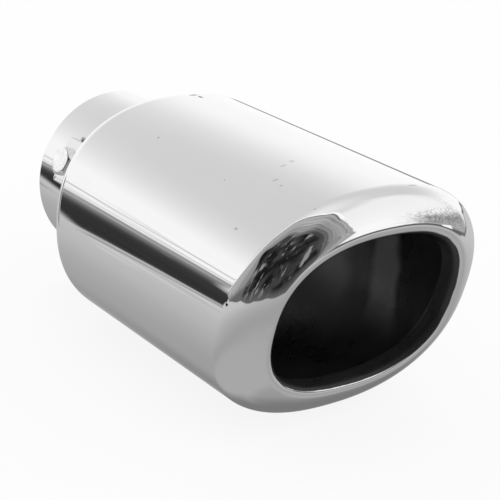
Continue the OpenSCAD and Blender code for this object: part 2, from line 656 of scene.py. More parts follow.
class RingLoft:
    """A skin that grows ring by ring, each ring extruded from the last one."""

    def __init__(self, segments: int, place: Place, line: float = 0.0) -> None:
        """Starts from a circle that is moved to its first place.

        Args:
            segments: Points on each ring.
            place: Where a ring has its point, by the direction in radians.
            line: The ring's value of "paint_line".
        """
        self.mesh = bmesh.new()
        self.turn = self.mesh.verts.layers.float.new("turn")
        self.line = self.mesh.verts.layers.float.new("paint_line")
        bmesh.ops.create_circle(self.mesh, cap_ends=False, segments=segments, radius=1.0)
        for vert in self.mesh.verts:
            vert[self.turn] = math.atan2(vert.co.y, vert.co.x)
        self.first = place
        self.edge = list(self.mesh.edges)
        self._settle(list(self.mesh.verts), place, line)

    def _settle(self, verts: Iterable[bmesh.types.BMVert], place: Place, line: float) -> None:
        """Moves a ring's points to their place.

        Args:
            verts: The points.
            place: Where they go.
            line: Their value of "paint_line".
        """
        for vert in verts:
            vert.co = place(vert[self.turn])
            vert[self.line] = line

    def grow(self, place: Place, line: float = 0.0) -> "RingLoft":
        """Extrudes the free edge to a new ring.

        Args:
            place: Where the new ring has its points.
            line: The ring's value of "paint_line".

        Returns:
            The loft itself.
        """
        made = bmesh.ops.extrude_edge_only(self.mesh, edges=self.edge)["geom"]
        verts = {item for item in made if isinstance(item, bmesh.types.BMVert)}
        self.edge = [item for item in made if isinstance(item, bmesh.types.BMEdge)
                     and item.verts[0] in verts and item.verts[1] in verts]
        self._settle(verts, place, line)
        return self

    def close(self, line: float = 0.0) -> bmesh.types.BMesh:
        """Runs the free edge back to the first ring, so that the skin is a closed loop."""
        self.grow(self.first, line)
        return self.finished()

    def finished(self) -> bmesh.types.BMesh:
        """Merges what meets and turns every face outwards.

        Returns:
            The finished mesh.
        """
        bmesh.ops.remove_doubles(self.mesh, verts=self.mesh.verts, dist=MERGE_DIST)
        bmesh.ops.recalc_face_normals(self.mesh, faces=self.mesh.faces)
        if self.mesh.calc_volume(signed=True) < 0:
            bmesh.ops.reverse_faces(self.mesh, faces=self.mesh.faces)
        return self.mesh


def make_piece(name: str, mesh: bmesh.types.BMesh, finish: bpy.types.Material, slot: Slot,
               nodes: Iterable[str], crease: float = CREASE_DEG) -> bpy.types.Object:
    """Turns a finished bmesh into a piece of the object.

    Args:
        name: The piece's name.
        mesh: Its mesh, in the row frame.
        finish: Its material.
        slot: The record's slot that it takes its finish from. Not used.
        nodes: The CAD nodes that it stands for.
        crease: The angle in degrees from which an edge stays sharp.

    Returns:
        The new object.
    """
    data = bpy.data.meshes.new(name)
    mesh.to_mesh(data)
    mesh.free()
    data.shade_smooth()
    data.set_sharp_from_angle(angle=math.radians(crease))
    data.materials.append(finish)
    piece = bpy.data.objects.new(name, data)
    bpy.context.scene.collection.objects.link(piece)
    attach(piece, "root")
    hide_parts(*nodes)
    log.info("%s: %d faces", name, len(data.polygons))
    return piece


# The sheet parts


@dataclass
class Sheet:
    """Sizes that the body, its rear plate and the neck share."""

    body_w: float = 101.6
    rear_narrowing: float = 1.6
    body_h: float = 84.8
    rear_rise: float = 1.4
    oval_power: float = 2.3
    body_len: float = 106.4
    slant_deg: float = 14.0
    neck_len: float = 43.5
    neck_bore: float = 64.0
    neck_wall: float = 1.2
    roll_off: Pair = (4.0, 1.6)
    segments: int = 288

    @property
    def lip_start(self) -> float:
        """Distance on the axis from the inlet's rear edge to the start of the lip."""
        return self.neck_len + self.body_len

    @property
    def neck_r(self) -> float:
        """Outer radius of the neck."""
        return self.neck_bore / 2 + self.neck_wall

    @property
    def front(self) -> Pair:
        """Width and height of the body where the lip starts."""
        return self.body_w, self.body_h

    @property
    def rear(self) -> Pair:
        """Width and height of the body at its rear plate."""
        return self.body_w - self.rear_narrowing, self.body_h + self.rear_rise

    def oval(self, size: Pair, turn: float) -> tuple[float, float, float, float]:
        """A point of the oval section and the outward normal there.

        Args:
            size: The oval's width and height.
            turn: The point's direction from the middle, in radians.

        Returns:
            The point's x and z, and the normal's x and z.
        """
        a, b, n = size[0] / 2, size[1] / 2, self.oval_power
        c, s = math.cos(turn), math.sin(turn)
        reach = (abs(c / a) ** n + abs(s / b) ** n) ** (-1 / n)
        x, z = reach * c, reach * s
        gx = math.copysign(abs(x / a) ** (n - 1) / a, x)
        gz = math.copysign(abs(z / b) ** (n - 1) / b, z)
        steepness = math.hypot(gx, gz)
        return x, z, gx / steepness, gz / steepness

    def ring(self, size: Pair, inset: float, distance: float, lean: float = 0.0) -> Place:
        """A ring of the body.

        Args:
            size: Width and height of the oval that the ring comes from.
            inset: How far it is moved inwards.
            distance: Its distance from the inlet's rear edge, on the axis.
            lean: 1 where it leans with the cut mouth, 0 where it is square.

        Returns:
            The ring's placing function.
        """
        slope = lean * math.tan(math.radians(self.slant_deg))

        def place(turn: float) -> Vector:
            """The ring's point in a direction.

            Args:
                turn: The direction, in radians.

            Returns:
                The point, in metres.
            """
            x, z, nx, nz = self.oval(size, turn)
            x, z = x - inset * nx, z - inset * nz
            return Vector((x, -(distance + slope * z), z)) * MM

        return place

    def wall(self, inset: float, share: float) -> Place:
        """A ring on the wall, at a share of the way from the rounded edge to the lip.

        Args:
            inset: How far it is moved inwards.
            share: The share of the way.

        Returns:
            The ring's placing function.
        """
        rear = self.ring(self.rear, inset, self.neck_len + self.roll_off[0])
        front = self.ring(self.front, inset, self.lip_start, 1.0)
        return lambda turn: rear(turn).lerp(front(turn), share)

    def edge(self, share: float, depth: float) -> Place:
        """A ring on the rear edge's roll-off, at a share of its quarter turn and a depth.

        Args:
            share: The share of the quarter turn.
            depth: How far the ring lies under the outside.

        Returns:
            The ring's placing function.
        """
        a = math.pi / 2 * share
        along, across = self.roll_off
        return self.ring(self.rear, across - (across - depth) * math.sin(a),
                         self.neck_len + along - (along - depth) * math.cos(a))

    def face(self, share: float, distance: float, hole: float) -> Place:
        """A ring on a flat rear face, at a share of the way from the hole to the roll-off.

        Args:
            share: The share of the way.
            distance: The face's distance from the inlet's rear edge.
            hole: The hole's radius.

        Returns:
            The ring's placing function.
        """
        rim = self.ring(self.rear, self.roll_off[1], distance)

        def place(turn: float) -> Vector:
            """The face's point in a direction.

            Args:
                turn: The direction, in radians.

            Returns:
                The point, in metres.
            """
            point = rim(turn)
            a = math.atan2(point.z, point.x)
            inner = Vector((hole * MM * math.cos(a), point.y, hole * MM * math.sin(a)))
            return inner.lerp(point, share)

        return place


@dataclass
class OvalBody:
    """The oval tube with its slanted mouth and rolled lip, and the rear plate welded to it.

    The weld between the two is ground flush and polished over, so they are one skin.
    """

    sheet: Sheet
    wall_t: float = 1.2
    plate_t: float = 1.5
    neck_gap: float = 0.1
    lip_forward: float = 13.9
    lip_inward: float = 20.5
    lip_turn: float = 62.0
    bend_r: float = 3.0
    hair: float = 0.02
    flange_len: float = 4.6
    edge_r: float = 0.35
    edge_row: float = 0.1
    free_edge: Stops = ((0.08, 0.1), (0.3, 0.0), (0.9, 0.0), (1.12, 0.1))
    paint_turn: float = 60.0
    face_shares: tuple[float, ...] = (0.0, 0.03, 0.35, 0.7, 0.97)
    wall_ends: Pair = (0.002, 0.02)
    wall_rows: int = 14
    wide_rows: int = 40
    bend_rows: int = 20
    edge_rows: int = 16
    inside: float = 9.0

    def _tangent(self, turn: float) -> Pair:
        """Direction of the wide curve, as inset and forward.

        Args:
            turn: The angle along the curve, in degrees.

        Returns:
            A unit direction.
        """
        a = math.radians(turn)
        d = (self.lip_inward * math.sin(a), self.lip_forward * math.cos(a))
        size = math.hypot(*d)
        return d[0] / size, d[1] / size

    def _wide(self, turn: float, depth: float) -> Pair:
        """A point of the wide curve at a depth under the outside.

        Args:
            turn: The angle along the curve, in degrees.
            depth: The depth.

        Returns:
            The point's inset and forward.
        """
        a, t = math.radians(turn), self._tangent(turn)
        return (self.lip_inward * (1 - math.cos(a)) + depth * t[1],
                self.lip_forward * math.sin(a) - depth * t[0])

    def _bend(self, angle: float, depth: float) -> Pair:
        """A point of the tight bend, by its angle from the inward direction.

        The bend stays a hair inside its radius.

        Args:
            angle: The angle, in degrees.
            depth: The depth under the outside.

        Returns:
            The point's inset and forward.
        """
        middle = self._wide(self.lip_turn, self.bend_r)
        reach, a = self.bend_r - depth - self.hair, math.radians(angle)
        return middle[0] + reach * math.cos(a), middle[1] + reach * math.sin(a)

    @property
    def bend_from(self) -> float:
        """The angle at which the tight bend starts."""
        t = self._tangent(self.lip_turn)
        return math.degrees(math.atan2(t[0], -t[1]))

    def _skin(self, depth: float) -> list[Triple]:
        """A skin's profile from the start of the lip to its free edge.

        Args:
            depth: How far the skin lies under the outside.

        Returns:
            Rows of inset, forward and distance past the paint's edge.
        """
        rows = []
        for i in range(self.wide_rows + 1):
            turn = self.lip_turn * i / self.wide_rows
            rows.append((*self._wide(turn, depth), -self.bend_r))
        for i in range(1, self.bend_rows + 1):
            angle = self.bend_from * (1 - i / self.bend_rows)
            rows.append((*self._bend(angle, depth), math.radians(self.paint_turn - angle) * self.bend_r))
        inset, forward = self._bend(0.0, depth)
        past, end = math.radians(self.paint_turn) * self.bend_r, self.flange_len - self.edge_r
        for back in (2 * self.edge_row, self.flange_len / 2, end - self.edge_row, end):
            rows.append((inset, forward - back, past + back))
        return rows

    def _lip(self, loft: RingLoft, inset: float, forward: float, line: float) -> None:
        """Adds a ring that leans with the mouth, by its place past the start of the lip."""
        loft.grow(self.sheet.ring(self.sheet.front, inset, self.sheet.lip_start + forward, 1.0), line)

    def _grow_rear(self, loft: RingLoft, depth: float, line: float, outwards: bool) -> None:
        """Adds the plate's face and rounded edge, from the hole out or back to it.

        Args:
            loft: What they are added to.
            depth: How far they lie under the outside.
            line: Their value of "paint_line".
            outwards: Whether the rings go out from the hole.
        """
        sheet, hole = self.sheet, self.sheet.neck_r + self.neck_gap
        rows = [sheet.face(share, sheet.neck_len + depth, hole) for share in self.face_shares]
        rows += [sheet.edge(i / self.edge_rows, depth) for i in range(self.edge_rows + 1)]
        for place in rows if outwards else reversed(rows):
            loft.grow(place, line)

    def build(self, finish: PartPainted) -> bpy.types.Object:
        """Makes the body as one closed sheet.

        Args:
            finish: Its finish outside and inside.

        Returns:
            The body.
        """
        sheet, bare = self.sheet, -self.inside
        hole = sheet.neck_r + self.neck_gap
        loft = RingLoft(sheet.segments, sheet.face(0.0, sheet.neck_len, hole), bare)
        self._grow_rear(loft, 0.0, bare, True)
        first, second = self.wall_ends
        stations = [first, second] + [i / self.wall_rows for i in range(1, self.wall_rows)]
        stations += [1 - second, 1 - first]
        for share in stations:
            loft.grow(sheet.wall(0.0, share), bare)
        for row in self._skin(0.0):
            self._lip(loft, *row)
        edge_in, edge_end = self._bend(0.0, 0.0)
        for across, back in self.free_edge:
            self._lip(loft, edge_in - across, edge_end - self.flange_len + back, self.inside)
        for inset, forward, _ in reversed(self._skin(self.wall_t)):
            self._lip(loft, inset, forward, self.inside)
        for share in reversed(stations):
            loft.grow(sheet.wall(self.wall_t, share), self.inside)
        loft.grow(sheet.wall(self.plate_t, first), self.inside)
        self._grow_rear(loft, self.plate_t, self.inside, False)
        return make_piece("oval_body", loft.close(bare), finish.material("polished_body"),
                          Slot.POLISHED_STEEL, ["body_shell", "rear_plate"])


@dataclass
class InletNeck:
    """The round tube that takes the tailpipe, with its weld bead and bolt holes."""

    sheet: Sheet
    inside: float = 6.0
    edge_r: float = 0.4
    edge_row: float = 0.15
    rim_rows: int = 5
    row_step: float = 3.5
    paint_past: float = 1.0
    segments: int = 240
    hole_r: float = 3.3
    hole_past: float = 2.0
    weld_leg: float = 2.5
    weld_rows: int = 12
    weld_beats: int = 96
    beat_points: int = 8
    beat_depth: float = 0.10
    beat_lean: float = 0.35
    weld_crease: float = 60.0

    def _tube(self, radius: float, distance: float) -> Place:
        """A round ring at a distance from the inlet's rear edge."""
        return lambda turn: Vector((radius * math.cos(turn), -distance, radius * math.sin(turn))) * MM

    def _rows(self) -> list[Pair]:
        """The tube's section as radius and distance, up the outside and back down the inside.

        Returns:
            The section's points in order.
        """
        sheet, e = self.sheet, self.edge_r
        outer, inner, length = sheet.neck_r, sheet.neck_bore / 2, sheet.neck_len + self.inside
        count = int(sheet.neck_len / self.row_step)
        stations = [e, e + self.edge_row, *(self.row_step * i for i in range(1, count)),
                    sheet.neck_len, length - e - self.edge_row, length - e]
        steps = [math.radians(90 * i / self.rim_rows) for i in range(1, self.rim_rows)]
        rows = [(outer, d) for d in stations]
        rows += [(outer - e * (1 - math.cos(a)), length - e * (1 - math.sin(a))) for a in steps]
        rows += [(outer - e, length), (inner + e, length)]
        rows += [(inner + e * (1 - math.sin(a)), length - e * (1 - math.cos(a))) for a in steps]
        rows += [(inner, d) for d in reversed(stations)]
        rows += [(inner + e * (1 - math.cos(a)), e * (1 - math.sin(a))) for a in steps]
        rows += [(inner + e, 0.0), (outer - e, 0.0)]
        rows += [(outer - e * (1 - math.sin(a)), e * (1 - math.cos(a))) for a in steps]
        return rows

    def build(self, finish: PartPainted, clamps: Iterable["ClampPoint"]) -> bpy.types.Object:
        """Makes the tube and cuts the bolt holes.

        Args:
            finish: Its finish outside and past the body's rear plate.
            clamps: The clamp points whose bolts pass through it.

        Returns:
            The neck.
        """
        sheet, rows = self.sheet, self._rows()
        line = -sheet.neck_len - self.paint_past
        loft = RingLoft(self.segments, self._tube(*rows[0]), rows[0][1] + line)
        for radius, distance in rows[1:]:
            loft.grow(self._tube(radius, distance), distance + line)
        piece = make_piece("inlet_tube", loft.close(), finish.material("polished_neck"),
                           Slot.POLISHED_STEEL, ["inlet_neck"])
        for clamp in clamps:
            clamp.drill(piece, self.hole_r, sheet.neck_bore / 4, sheet.neck_r + self.hole_past)
        piece.data.set_sharp_from_angle(angle=math.radians(CREASE_DEG))
        return piece

    def build_weld(self, finish: WeldMetal) -> bpy.types.Object:
        """Makes the bead in the corner between the neck and the rear plate.

        Args:
            finish: Its finish.

        Returns:
            The bead.
        """
        sheet = self.sheet

        def bead(share: float) -> Place:
            """A ring of the bead, at a share of the way from the plate to the neck.

            Args:
                share: The share of the way.

            Returns:
                The ring's placing function.
            """
            a = math.pi / 2 * share

            def place(turn: float) -> Vector:
                """The bead's point in a direction, on one of its overlapping scallops.

                Args:
                    turn: The direction, in radians.

                Returns:
                    The point, in metres.
                """
                beat = (turn / math.tau * self.weld_beats + self.beat_lean * math.sin(a)) % 1.0
                swell = math.sqrt(1 - (1 - beat) ** 2)
                leg = self.weld_leg * (1 - self.beat_depth + self.beat_depth * swell)
                r = sheet.neck_r + leg * math.cos(a)
                return Vector((r * math.cos(turn), -sheet.neck_len + leg * math.sin(a),
                               r * math.sin(turn))) * MM

            return place

        loft = RingLoft(self.weld_beats * self.beat_points, bead(0.0))
        for i in range(1, self.weld_rows + 1):
            loft.grow(bead(i / self.weld_rows))
        loft.grow(self._tube(sheet.neck_r, sheet.neck_len))
        return make_piece("neck_bead", loft.close(), finish.material("weld_bead"), Slot.WELD_METAL,
                          ["neck_weld"], self.weld_crease)


# The clamp points


@dataclass
class ClampPoint:
    """One weld plate on the neck with its tack welds and its clamp bolt."""

    sheet: Sheet
    site: Site
    bolt_angle: float = 156.0
    bolt_step: float = 120.0
    bolt_back: float = 26.0
    bolt_d: float = 6.0
    bolt_open: float = 1.9
    head_flats: float = 10.0
    head_h: float = 4.0
    head_cut: float = 0.55
    head_turn: float = 20.0
    head_seat_round: float = 0.12
    head_side_round: float = 0.07
    head_top_round: Pair = (0.12, 0.02)
    head_segments: int = 72
    bolt_crease: float = 25.0
    thread_pitch: float = 1.0
    thread_depth: float = 0.55
    thread_gap: float = 0.05
    thread_shape: tuple[tuple[float, int], ...] = ((0.0, 0), (0.18, 0), (0.46, 1), (0.58, 1), (0.86, 0))
    thread_steps: int = 48
    thread_merge: float = 1e-4
    cut_dist: float = 1e-5
    crest_cut: float = 0.01
    tip_back: float = 0.15
    pad_side: float = 18.0
    pad_t: float = 3.0
    pad_corner_r: float = 1.5
    pad_least_r: float = 0.3
    pad_edge_r: float = 0.45
    pad_round: Stops = ((0.0, 1.0), (0.13, 0.5), (0.5, 0.13), (1.0, 0.0))
    pad_rings: Pair = (3.0, 5.0)
    pad_seat_ring: float = 4.0
    pad_segments: int = 144
    tack_r: float = 1.7
    tack_off: float = 5.6
    tack_size: Pair = (0.97, 0.75)
    tack_ripple: float = 0.035
    tack_waves: tuple[int, int] = (3, 4)
    tack_segments: tuple[int, int] = (36, 20)
    tack_crease: float = 80.0
    drill_segments: int = 64

    @property
    def frame(self) -> Matrix:
        """Where the clamp point sits: Z out of the neck, X along the pipe, sizes in metres.

        Returns:
            What takes millimetres on the clamp point to the row frame.
        """
        a = math.radians(self.bolt_angle - self.site.value[0] * self.bolt_step)
        c, s = math.cos(a), math.sin(a)
        turn = Matrix(((0, -s, c, 0), (1, 0, 0, -self.bolt_back * MM), (0, c, s, 0), (0, 0, 0, 1)))
        return turn @ Matrix.Scale(MM, 4)

    @property
    def pad_face(self) -> float:
        """Height of the plate's outer face over the neck's axis."""
        return self.sheet.neck_r + self.pad_t

    def _piece(self, kind: str, node: str, mesh: bmesh.types.BMesh, finish: bpy.types.Material,
               slot: Slot, crease: float = CREASE_DEG) -> bpy.types.Object:
        """Sets a mesh in its place on the neck and makes it a piece.

        Args:
            kind: The start of the piece's name.
            node: The start of the CAD node's name.
            mesh: The mesh, in millimetres on the clamp point.
            finish: Its material.
            slot: The record's slot.
            crease: The angle in degrees from which an edge stays sharp.

        Returns:
            The piece.
        """
        bmesh.ops.transform(mesh, matrix=self.frame, verts=mesh.verts)
        end = self.site.value[1]
        return make_piece(f"{kind}_{end}", mesh, finish, slot, [f"{node}_{end}"], crease)

    def drill(self, piece: bpy.types.Object, radius: float, low: float, high: float) -> None:
        """Cuts a round hole on the bolt's line.

        Args:
            piece: What is drilled.
            radius: The hole's radius.
            low: Where the drill starts, over the neck's axis.
            high: Where it ends.
        """
        tool = bmesh.new()
        bmesh.ops.create_cone(tool, cap_ends=True, segments=self.drill_segments, radius1=radius,
                              radius2=radius, depth=high - low,
                              matrix=Matrix.Translation((0, 0, (low + high) / 2)))
        bmesh.ops.transform(tool, matrix=self.frame, verts=tool.verts)
        data = bpy.data.meshes.new("drill")
        tool.to_mesh(data)
        tool.free()
        cutter = bpy.data.objects.new("drill", data)
        bpy.context.scene.collection.objects.link(cutter)
        cut = piece.modifiers.new("hole", "BOOLEAN")
        cut.operation, cut.solver, cut.object = "DIFFERENCE", "EXACT", cutter
        shown = piece.evaluated_get(bpy.context.evaluated_depsgraph_get())
        drilled = bpy.data.meshes.new_from_object(shown)
        piece.modifiers.clear()
        old, piece.data = piece.data, drilled
        drilled.name = piece.name
        bpy.data.meshes.remove(old)
        bpy.data.objects.remove(cutter)
        bpy.data.meshes.remove(data)

    def _square(self, turn: float, half: float, corner: float) -> Pair:
        """A point of a rounded square, by its direction from the middle.

        Args:
            turn: The direction, in radians.
            half: Half the square's side.
            corner: Its corner radius.

        Returns:
            The point's x and y.
        """
        c, s = abs(math.cos(turn)), abs(math.sin(turn))
        core = half - corner
        reach = half / max(c, s)
        if reach * min(c, s) > core:
            d = core * (c + s)
            reach = d + math.sqrt(max(0.0, d * d - 2 * core * core + corner * corner))
        return reach * math.cos(turn), reach * math.sin(turn)

    def _pad_ring(self, inset: float, height: float | None, bore: bool = False) -> Place:
        """A ring of the weld plate.

        Args:
            inset: How far the ring lies inside the plate's outline.
            height: Its height over the neck's axis, or None where it lies on the neck.
            bore: Whether it goes round the thread instead of the outline.

        Returns:
            The ring's placing function, in millimetres on the clamp point.
        """

        def place(turn: float) -> Vector:
            """The plate's point in a direction.

            Args:
                turn: The direction, in radians.

            Returns:
                The point, in millimetres on the clamp point.
            """
            if bore:
                r = self.bolt_d / 2 + self.thread_gap
                x, y = r * math.cos(turn), r * math.sin(turn)
            else:
                corner = max(self.pad_corner_r - inset, self.pad_least_r)
                x, y = self._square(turn, self.pad_side / 2 - inset, corner)
            z = math.sqrt(self.sheet.neck_r ** 2 - y * y) if height is None else height
            return Vector((x, y, z))

        return place

    def build_plate(self, finish: bpy.types.Material) -> bpy.types.Object:
        """Makes the weld plate, seated on the neck.

        Args:
            finish: Its material.

        Returns:
            The plate.
        """
        top, e = self.pad_face, self.pad_edge_r
        loft = RingLoft(self.pad_segments, self._pad_ring(0.0, None))
        for inset, under in self.pad_round:
            loft.grow(self._pad_ring(inset * e, top - under * e))
        for inset in self.pad_rings:
            loft.grow(self._pad_ring(inset, top))
        loft.grow(self._pad_ring(0.0, top, bore=True))
        loft.grow(self._pad_ring(0.0, None, bore=True))
        loft.grow(self._pad_ring(self.pad_seat_ring, None))
        return self._piece("plate", "weld_plate", loft.close(), finish, Slot.POLISHED_STEEL)

    def build_tacks(self, finish: bpy.types.Material) -> bpy.types.Object:
        """Makes the four tack welds as rippled mounds.

        Args:
            finish: Their material.

        Returns:
            The tack welds, as one piece.
        """
        mesh = bmesh.new()
        half = self.pad_side / 2
        seat = math.sqrt(self.sheet.neck_r ** 2 - half * half)
        wide, high = self.tack_size
        round_waves, rising_waves = self.tack_waves
        for u in (-1, 1):
            for v in (-1, 1):
                made = bmesh.ops.create_uvsphere(mesh, u_segments=self.tack_segments[0],
                                                 v_segments=self.tack_segments[1],
                                                 radius=self.tack_r * wide)["verts"]
                for vert in made:
                    turn = math.atan2(vert.co.y, vert.co.x)
                    wave = math.sin(round_waves * turn + u) * math.sin(rising_waves * vert.co.z + v)
                    ripple = 1 + self.tack_ripple * wave
                    vert.co = Vector((vert.co.x * ripple, vert.co.y * ripple, vert.co.z * high))
                bmesh.ops.translate(mesh, verts=made, vec=(u * self.tack_off, v * half, seat))
        return self._piece("tacks", "plate_tacks", mesh, finish, Slot.WELD_METAL, self.tack_crease)

    def _hexagon(self, turn: float) -> float:
        """Distance from the bolt's line to the head's side, by direction.

        Args:
            turn: The direction, in radians.

        Returns:
            The distance.
        """
        sixth = math.pi / 3
        off = (turn - math.radians(self.head_turn)) % sixth - sixth / 2
        return self.head_flats / 2 / math.cos(off)

    def _head(self) -> bmesh.types.BMesh:
        """The hexagon head with its corners cut by a cone.

        Returns:
            The head, in millimetres on the clamp point.
        """
        seat = self.pad_face + self.bolt_open
        corner_r = self.head_flats / math.sqrt(3)
        top_r = (self.head_flats - self.head_cut) / 2
        fall = self.head_cut / (corner_r - top_r)
        root_r = self.bolt_d / 2 - self.thread_depth

        def side(out: float, up: float, cone: bool) -> Place:
            """A ring on the head's side, or where the side meets the cone.

            Args:
                out: How far it stands out from the side.
                up: How far it is moved up.
                cone: Whether it follows the cone instead of the seat.

            Returns:
                The ring's placing function.
            """

            def place(turn: float) -> Vector:
                """The side's point in a direction.

                Args:
                    turn: The direction, in radians.

                Returns:
                    The point, in millimetres on the clamp point.
                """
                r = self._hexagon(turn)
                z = self.head_h - fall * (r - top_r) if cone else 0.0
                return Vector(((r + out) * math.cos(turn), (r + out) * math.sin(turn), seat + z + up))

            return place

        def disc(radius: float, height: float) -> Place:
            """A round ring of the head."""
            return lambda turn: Vector((radius * math.cos(turn), radius * math.sin(turn), seat + height))

        low, mid, (top_in, top_down) = self.head_seat_round, self.head_side_round, self.head_top_round
        loft = RingLoft(self.head_segments, disc(root_r, 0.0))
        loft.grow(side(-low, 0.0, False)).grow(side(0.0, low, False))
        loft.grow(side(0.0, -mid, True)).grow(side(-mid, 0.0, True))
        loft.grow(disc(top_r, self.head_h - top_down)).grow(disc(top_r - top_in, self.head_h))
        loft.grow(disc(top_r * 0.5, self.head_h)).grow(disc(0.0, self.head_h))
        return loft.finished()

    def _thread(self) -> bmesh.types.BMesh:
        """The shank, its profile spun one turn while it climbs by one pitch.

        The profile starts one and a half pitches low and has two turns to spare. The two cuts take
        that off again.

        Returns:
            The shank, in millimetres on the clamp point.
        """
        mesh = bmesh.new()
        low = self.sheet.neck_bore / 2 + self.tip_back
        high = self.pad_face + self.bolt_open
        radii = (self.bolt_d / 2 - self.thread_depth, self.bolt_d / 2 - self.crest_cut)
        turns = math.ceil((high - low) / self.thread_pitch) + 2
        points = [(radii[level], low + (i + share - 1.5) * self.thread_pitch)
                  for i in range(turns) for share, level in self.thread_shape]
        last = mesh.verts.new((points[0][0], 0.0, points[0][1]))
        for radius, height in points[1:]:
            last = bmesh.ops.extrude_vert_indiv(mesh, verts=[last])["verts"][0]
            last.co = Vector((radius, 0.0, height))
        bmesh.ops.spin(mesh, geom=[*mesh.verts, *mesh.edges], cent=(0, 0, 0), axis=(0, 0, 1),
                       dvec=(0, 0, self.thread_pitch / self.thread_steps), angle=math.tau,
                       steps=self.thread_steps, use_merge=False)
        bmesh.ops.remove_doubles(mesh, verts=mesh.verts, dist=self.thread_merge)
        for height, way in ((low, (0, 0, -1)), (high, (0, 0, 1))):
            bmesh.ops.bisect_plane(mesh, geom=[*mesh.verts, *mesh.edges, *mesh.faces],
                                   dist=self.cut_dist, plane_co=(0, 0, height), plane_no=way,
                                   clear_outer=True)
        bmesh.ops.holes_fill(mesh, edges=[e for e in mesh.edges if e.is_boundary], sides=0)
        bmesh.ops.recalc_face_normals(mesh, faces=mesh.faces)
        return mesh

    def build_bolt(self, finish: bpy.types.Material) -> bpy.types.Object:
        """Makes the clamp bolt: a bare hexagon head on a threaded shank.

        Args:
            finish: Its material.

        Returns:
            The bolt.
        """
        mesh = self._head()
        shank = self._thread()
        data = bpy.data.meshes.new("shank")
        shank.to_mesh(data)
        shank.free()
        mesh.from_mesh(data)
        bpy.data.meshes.remove(data)
        return self._piece("bolt", "clamp_bolt", mesh, finish, Slot.BOLT_STEEL, self.bolt_crease)


# The studio


@dataclass(frozen=True)
class ViewPoint:
    """The photograph's viewing angle, as angles in degrees and lengths in millimetres."""

    azimuth: float = -36.687
    elevation: float = 20.838
    roll: float = 3.694
    distance: float = 511.308
    focus_px: float = 1437.162
    aim_back: float = 95.4
    slide: Pair = (0.06, -1.774)
    centre_px: Pair = (-1.453, 0.977)
    sensor: float = 36.0
    clip_m: Pair = (0.01, 100.0)

    def build(self) -> bpy.types.Object:
        """Makes the camera and sets it as the scene's.

        Returns:
            The camera object.
        """
        a, e, r = (math.radians(v) for v in (self.azimuth, self.elevation, self.roll))
        back = Vector((math.sin(a) * math.cos(e), -math.cos(a) * math.cos(e), math.sin(e)))
        level = Vector((math.cos(a), math.sin(a), 0.0))
        rise = back.cross(level)
        right = math.cos(r) * level + math.sin(r) * rise
        up = math.cos(r) * rise - math.sin(r) * level
        aim = Vector((0.0, -self.aim_back, 0.0)) + self.slide[0] * right + self.slide[1] * up
        data = bpy.data.cameras.new("camera")
        data.sensor_width = self.sensor
        data.lens = self.focus_px / IMAGE_WIDTH * self.sensor
        data.shift_x = -self.centre_px[0] / IMAGE_WIDTH
        data.shift_y = self.centre_px[1] / IMAGE_WIDTH
        data.clip_start, data.clip_end = self.clip_m
        camera = bpy.data.objects.new("camera", data)
        turn = Matrix((right, up, back)).transposed().to_4x4()
        camera.matrix_world = Matrix.Translation((aim + self.distance * back) * MM) @ turn
        bpy.context.scene.collection.objects.link(camera)
        bpy.context.scene.camera = camera
        return camera


def direction(azimuth: float, elevation: float = 0.0) -> Triple:
    """A direction as a unit vector."""
    a, e = math.radians(azimuth), math.radians(elevation)
    return math.sin(a) * math.cos(e), math.cos(a) * math.cos(e), math.sin(e)


@dataclass(frozen=True)
class Patch:
    """A stretch of the surroundings with a tone of its own, its edges soft, angles in degrees."""

    bar: Triple
    rise: Pair
    fall: Pair
    tone: float
    share: float = 1.0


@dataclass(frozen=True)
class FarSide:
    """Pale open ground behind the object, with a hedge, bare twigs and a dark far line.

    The horizon is the line's elevation by azimuth. Spans map azimuth, elevation or the height over
    that line to a share or a tone, and a bar is an azimuth, its half width and its soft edge.
    """

    horizon: Stops = (
        (-30, -8), (30, -8), (35, -15), (42, -17.5), (46, -17.5), (56, -8), (67, -1.6), (84, -1),
        (91, -9.4), (99, -15), (112, -14.1), (121, -13.1), (129, -10.8), (138, -9.3), (160, -9.6))
    lift: float = 40.0
    size: float = 60.0
    starts: Pair = (-24.0, -16.0)
    ends: Span = (150.0, 165.0, 1.0, 0.0)
    edge: Pair = (-0.6, 0.6)
    top: Span = (3.0, 9.0, 1.0, 0.0)
    tone: float = 1.02
    hedge_bar: Triple = (112.0, 14.0, 12.0)
    hedge_top: Span = (-3.0, 6.0, 1.0, 0.0)
    hedge_streaks: Span = (0.35, 0.6, 0.75, 1.0)
    hedge_tone: float = 0.34
    twig_grain: Grain = Grain(1.0, 6.0, 0.72, (17.0, 17.0, 13.0), (0.3, 0.2, 0.0))
    twig_span: Span = (0.012, 0.035, 1.0, 0.0)
    twig_bar: Triple = (116.0, 12.0, 14.0)
    twig_rise: Window = ((-12.0, -6.0), (6.0, 30.0))
    twig_tone: float = 0.35
    line_width: Span = (104.0, 124.0, 1.6, 8.0)
    line_low: Pair = (-1.2, -0.8)
    line_high: Span = (0.4, 1.0, 1.0, 0.0)
    line_starts: Pair = (40.0, 50.0)
    line_ends: Span = (156.0, 166.0, 1.0, 0.0)
    line_tone: Span = (60.0, 110.0, 0.30, 0.13)


